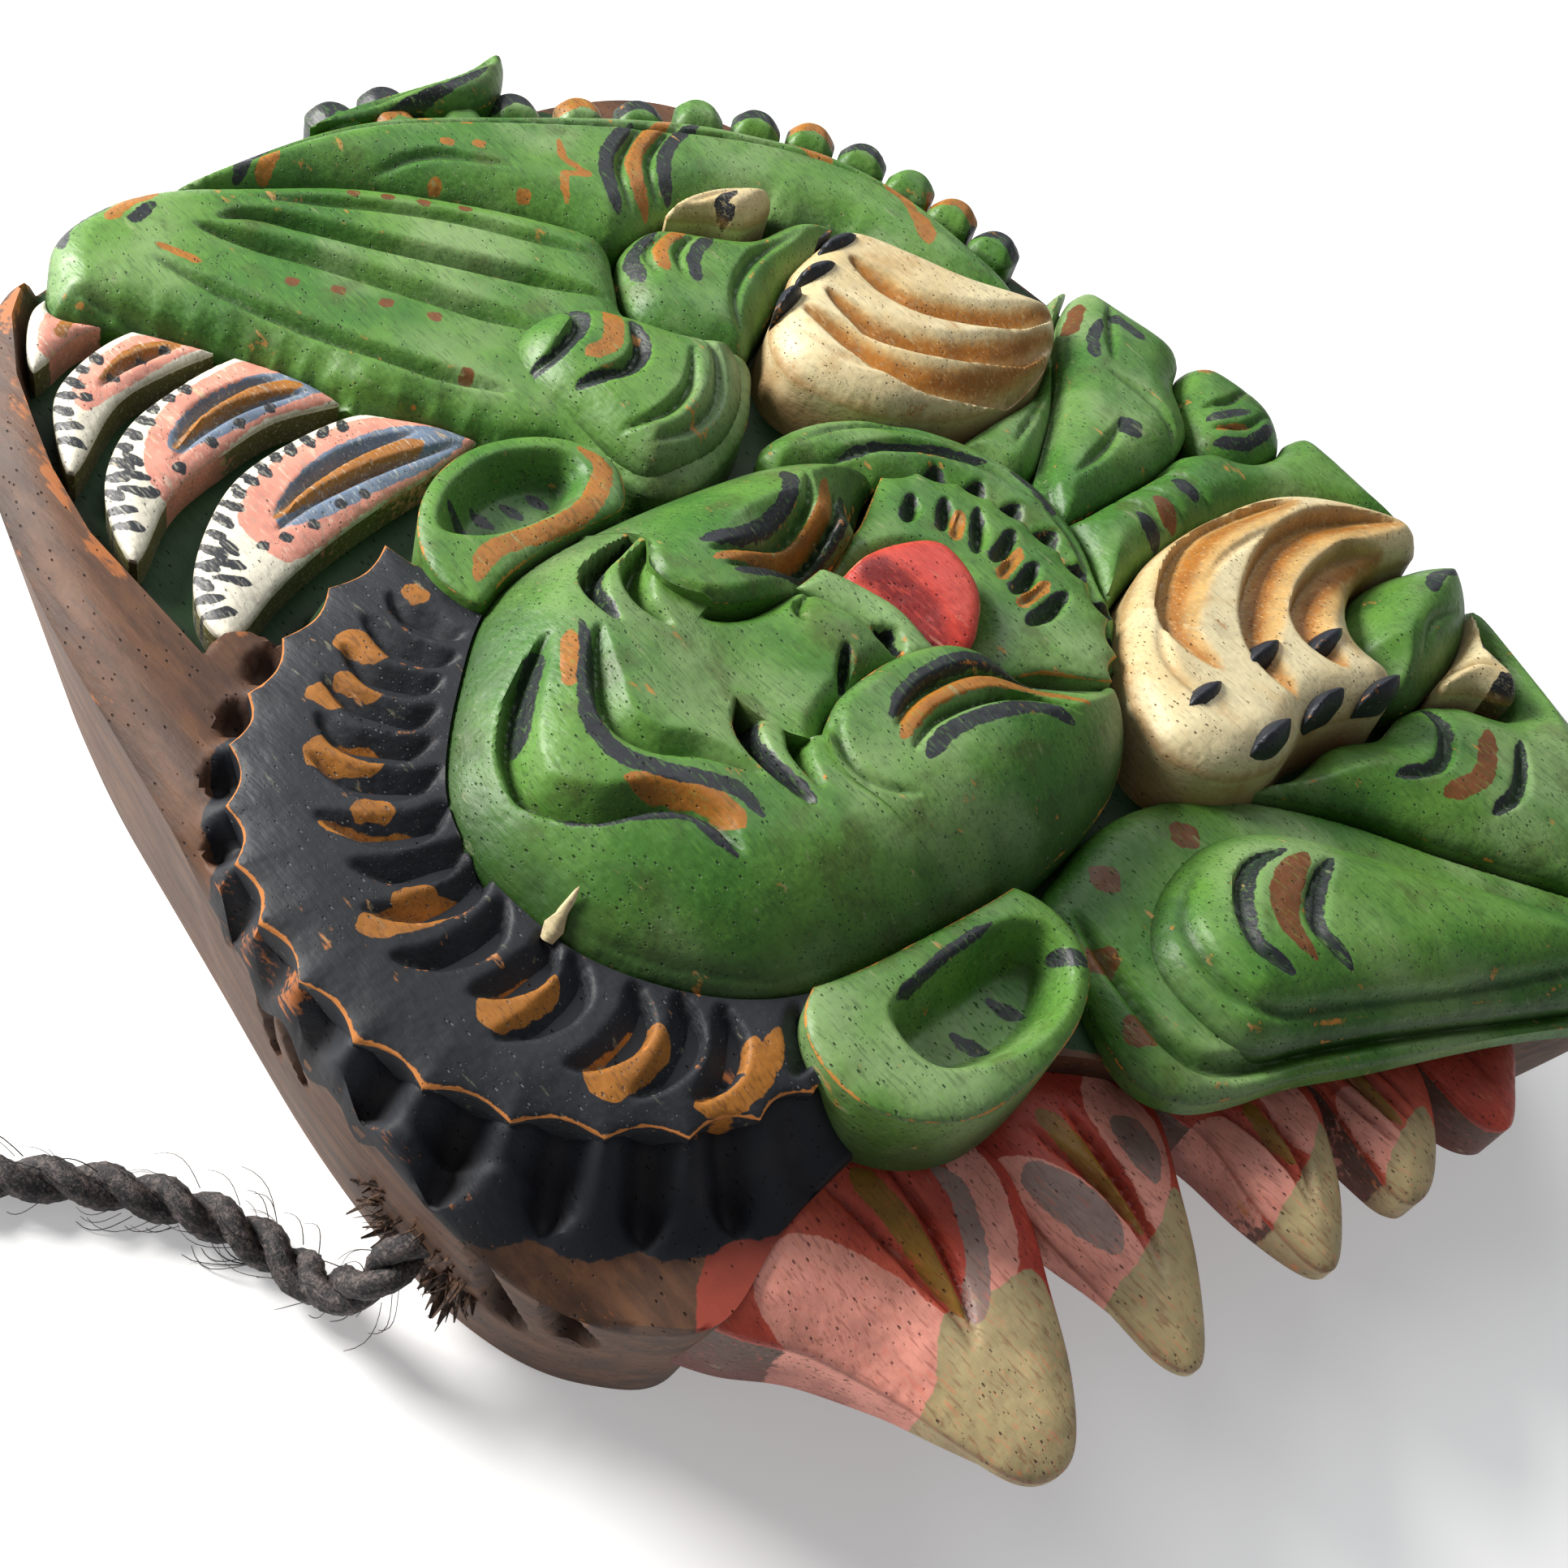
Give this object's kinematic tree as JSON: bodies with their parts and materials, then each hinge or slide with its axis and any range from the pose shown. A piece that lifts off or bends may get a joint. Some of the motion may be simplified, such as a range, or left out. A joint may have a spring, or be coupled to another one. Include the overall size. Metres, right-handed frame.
{
  "type": "carved wall plaque",
  "caption": "Hand-carved painted wooden relief of a winged guardian mask, with a twisted rope hanger; hangs on a wall or lies flat on its back.",
  "frame": {"origin": "centre of the carved object's box at its flat back, without the rope", "axes": "+Z out of the relief, away from the wall; +Y towards the hair and the rope hole; +X towards the raised wing"},
  "size_m": [0.2112, 0.2565, 0.0462],
  "materials": {
    "bare_wood": "worn, waxed",
    "green_paint": "satin paint on wood",
    "black_paint": "satin paint on wood",
    "cream_paint": "satin paint on wood",
    "red_paint": "satin paint on wood",
    "feather_paint": "satin paint on wood",
    "rope_fibre": "twisted dyed fibre",
    "tuft_fibre": "frayed fibre"
  },
  "bodies": {
    "root": {"back_block": "bare_wood", "hair_crown": "black_paint", "forehead": "green_paint", "left_cheek": "green_paint", "right_cheek": "green_paint", "nose": "green_paint", "upper_lip": "green_paint", "tongue": "red_paint", "beard_collar": "green_paint", "left_ear": "green_paint", "right_ear": "green_paint", "left_wing_arm": "green_paint", "left_wing_knob": "green_paint", "right_wing_arm": "green_paint", "right_wing_knob": "green_paint", "left_feather_1": "feather_paint", "left_feather_2": "feather_paint", "left_feather_3": "feather_paint", "left_feather_4": "feather_paint", "left_feather_5": "feather_paint", "right_feather_1": "feather_paint", "right_feather_2": "feather_paint", "right_feather_3": "feather_paint", "right_feather_4": "feather_paint", "chest_ring": "green_paint", "belly": "green_paint", "sash": "green_paint", "tail_stub": "green_paint", "left_hand": "cream_paint", "left_claws": "black_paint", "left_thumb_claw": "cream_paint", "grip_ball": "green_paint", "right_hand": "cream_paint", "right_claws": "black_paint", "right_thumb_claw": "cream_paint", "left_limb": "green_paint", "right_inner_limb": "green_paint", "right_outer_limb": "green_paint", "right_thigh": "green_paint", "crest_lobes": "green_paint", "fin": "green_paint", "rope_tuft": "tuft_fibre", "rope": "rope_fibre", "rope_coil": "rope_fibre", "rope_end_knot": "rope_fibre"}
  },
  "joints": []
}
